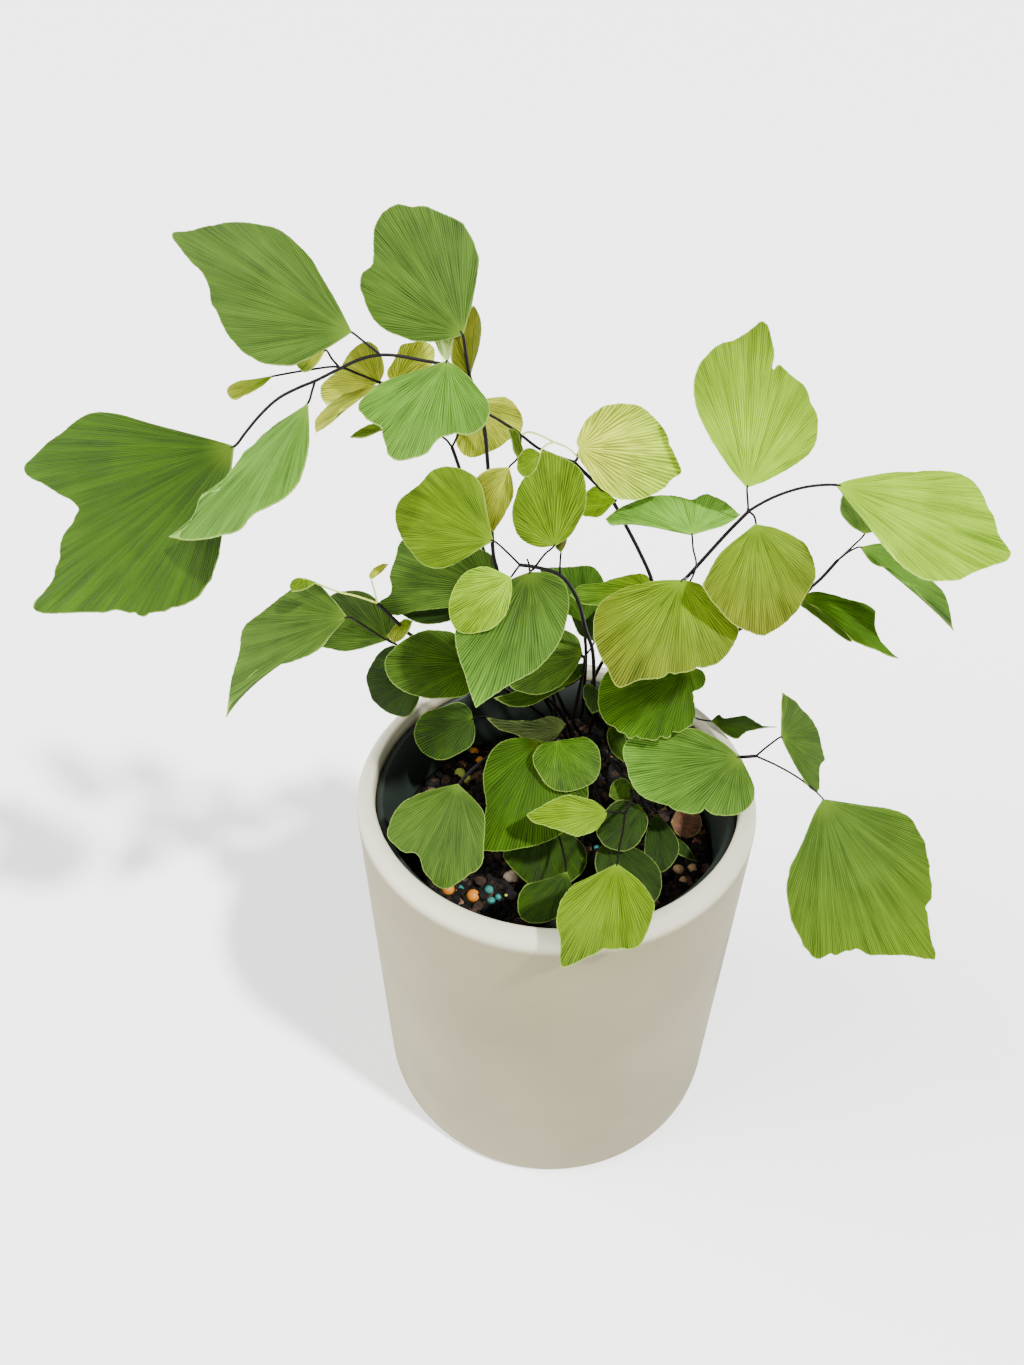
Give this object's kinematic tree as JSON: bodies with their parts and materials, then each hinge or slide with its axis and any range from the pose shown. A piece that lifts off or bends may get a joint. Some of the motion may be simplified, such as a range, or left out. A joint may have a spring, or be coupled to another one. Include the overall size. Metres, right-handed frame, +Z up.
{
  "type": "potted maidenhair fern",
  "caption": "Maidenhair fern with wiry dark stems and thin lobed fan leaflets, growing in a plastic grow pot inside a plain off-white ceramic cover pot.",
  "frame": {"origin": "centre of the cover pot's flat underside", "axes": "+Z up along the pot's axis, -Y towards the side that the plant is seen from, +X to that viewer's right"},
  "size_m": [0.2696, 0.1398, 0.3028],
  "materials": {
    "glazed_pot": "matte off-white ceramic",
    "green_plastic": "satin grey-green plastic",
    "potting_mix": "dark moist peat and bark",
    "dry_leaf": "dry brown leaf",
    "fresh_frond": "thin satin yellow-green leaf on black wiry stems",
    "deep_frond": "thin satin mid-green leaf on black wiry stems",
    "young_frond": "thin olive young leaf on dark wiry stems"
  },
  "bodies": {
    "root": {"cover_pot": "glazed_pot", "grow_pot": "green_plastic", "potting_mix": "potting_mix", "dry_leaflet": "dry_leaf", "frond_tall": "fresh_frond", "frond_fork": "young_frond", "frond_arching": "young_frond", "frond_right": "fresh_frond", "frond_right_back": "deep_frond", "frond_low_right": "fresh_frond", "frond_mid_right": "deep_frond", "frond_back_centre": "deep_frond", "frond_centre": "fresh_frond", "frond_left": "deep_frond", "frond_left_back": "deep_frond", "frond_low_left": "deep_frond", "frond_centre_low": "deep_frond", "frond_inner_left": "deep_frond", "frond_grey_low": "deep_frond", "frond_front_left": "deep_frond", "frond_front": "fresh_frond", "frond_spray": "fresh_frond", "frond_shade_right": "deep_frond", "frond_shade_centre": "deep_frond", "frond_shade_front": "deep_frond"}
  },
  "joints": []
}
